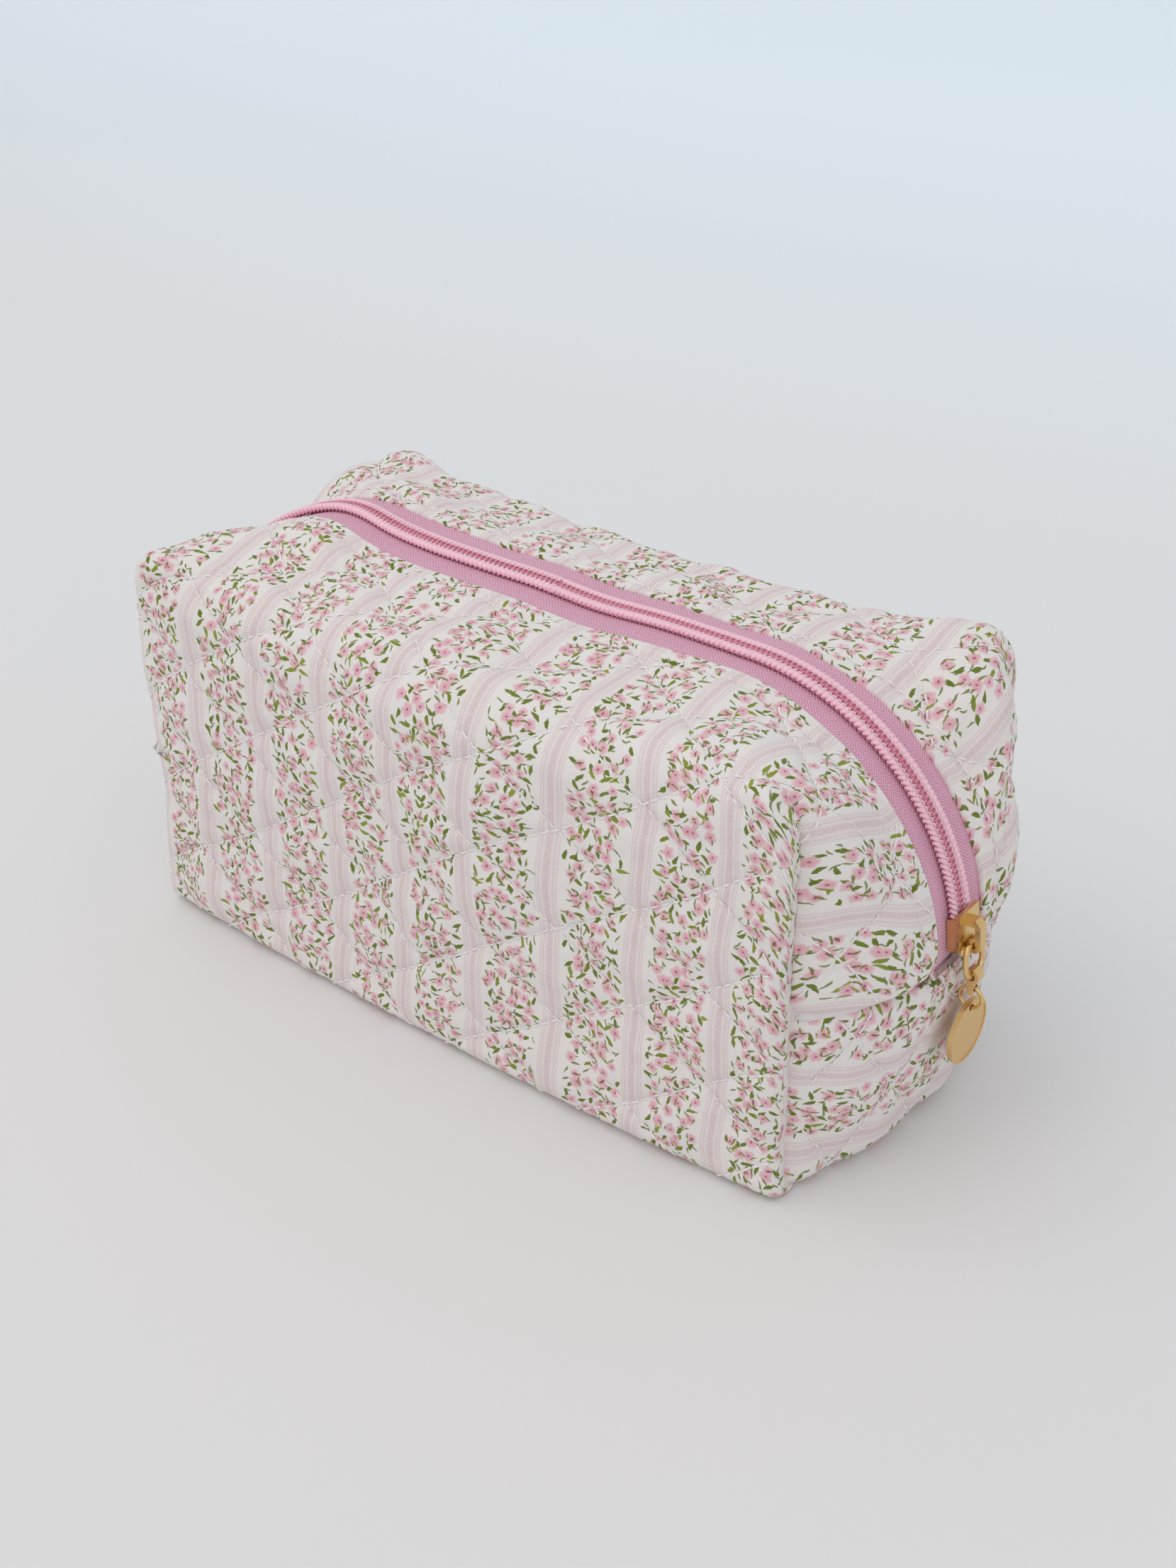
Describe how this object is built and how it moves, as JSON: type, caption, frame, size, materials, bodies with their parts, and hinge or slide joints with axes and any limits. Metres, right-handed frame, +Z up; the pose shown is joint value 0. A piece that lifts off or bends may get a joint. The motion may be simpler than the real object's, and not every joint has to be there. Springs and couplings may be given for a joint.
{
  "type": "makeup bag",
  "caption": "Quilted box-shaped makeup bag with a coil zip over the top and down both ends, opening top flaps, and a metal slider with a hanging disc charm.",
  "frame": {"origin": "middle of the base, on the surface that the bag stands on", "axes": "+X along the zip towards the slider, +Y from the front to the back, +Z up"},
  "size_m": [0.2261, 0.098, 0.1018],
  "materials": {
    "print_cloth": "quilted cotton, ditsy floral and stripe print",
    "wadding": "polyester wadding",
    "lining": "plain woven lining",
    "binding": "woven seam binding",
    "zip_tape": "herringbone woven tape",
    "zip_coil": "nylon coil",
    "thread": "sewing thread",
    "gold": "pale gold plating",
    "charm": "brushed pale gold with a polished rim"
  },
  "bodies": {
    "bag": {"outer_front": "print_cloth", "outer_back": "print_cloth", "outer_bottom": "print_cloth", "outer_end_lower_right": "print_cloth", "outer_end_lower_left": "print_cloth", "outer_end_front_right": "print_cloth", "outer_end_back_right": "print_cloth", "outer_end_front_left": "print_cloth", "outer_end_back_left": "print_cloth", "wadding_front": "wadding", "wadding_back": "wadding", "wadding_base": "wadding", "wadding_end_quarters": "wadding", "lining_front": "lining", "lining_back": "lining", "lining_base": "lining", "lining_end_quarters": "lining", "binding_front_right": "binding", "binding_back_right": "binding", "binding_front_left": "binding", "binding_back_left": "binding", "binding_end_right": "binding", "binding_end_left": "binding", "tape_front_right_end": "zip_tape", "tape_back_right_end": "zip_tape", "tape_front_left_end": "zip_tape", "tape_back_left_end": "zip_tape", "coil_front_right_end": "zip_coil", "coil_back_right_end": "zip_coil", "coil_front_left_end": "zip_coil", "coil_back_left_end": "zip_coil"},
    "front_flap": {"front_flap_outer": "print_cloth", "front_flap_wadding": "wadding", "front_flap_lining": "lining", "front_flap_tape": "zip_tape", "front_flap_coil": "zip_coil"},
    "back_flap": {"back_flap_outer": "print_cloth", "back_flap_wadding": "wadding", "back_flap_lining": "lining", "back_flap_tape": "zip_tape", "back_flap_coil": "zip_coil"},
    "slider": {"slider_body": "gold", "slider_crown": "gold"},
    "link": {"pull_link": "gold"},
    "bail": {"pull_bail": "gold"},
    "ring": {"jump_ring": "gold"},
    "charm": {"charm_disc": "charm"}
  },
  "joints": [
    {"name": "slider_travel", "type": "hinge", "parent": "bag", "child": "slider", "pos_m": [0.054, 0, 0.046], "axis": [0, -1, 0], "range_deg": [0, 76]},
    {"name": "front_flap_fold", "type": "hinge", "parent": "bag", "child": "front_flap", "pos_m": [0, -0.037, 0.0995], "axis": [1, 0, 0], "range_deg": [0, 100]},
    {"name": "back_flap_fold", "type": "hinge", "parent": "bag", "child": "back_flap", "pos_m": [0, 0.037, 0.0995], "axis": [-1, 0, 0], "range_deg": [0, 100]},
    {"name": "link_swing", "type": "hinge", "parent": "slider", "child": "link", "pos_m": [0.11207, 0, 0.05101], "axis": [0, -1, 0], "range_deg": [0, 120]},
    {"name": "bail_swing", "type": "hinge", "parent": "link", "child": "bail", "pos_m": [0.11305, 0, 0.04307], "axis": [0, -1, 0], "range_deg": [0, 45]},
    {"name": "ring_sway", "type": "hinge", "parent": "bail", "child": "ring", "pos_m": [0.11305, 0, 0.03987], "axis": [1, 0, 0], "range_deg": [-25, 25]},
    {"name": "charm_sway", "type": "hinge", "parent": "ring", "child": "charm", "pos_m": [0.11305, 0, 0.03467], "axis": [1, 0, 0], "range_deg": [-35, 35]}
  ]
}
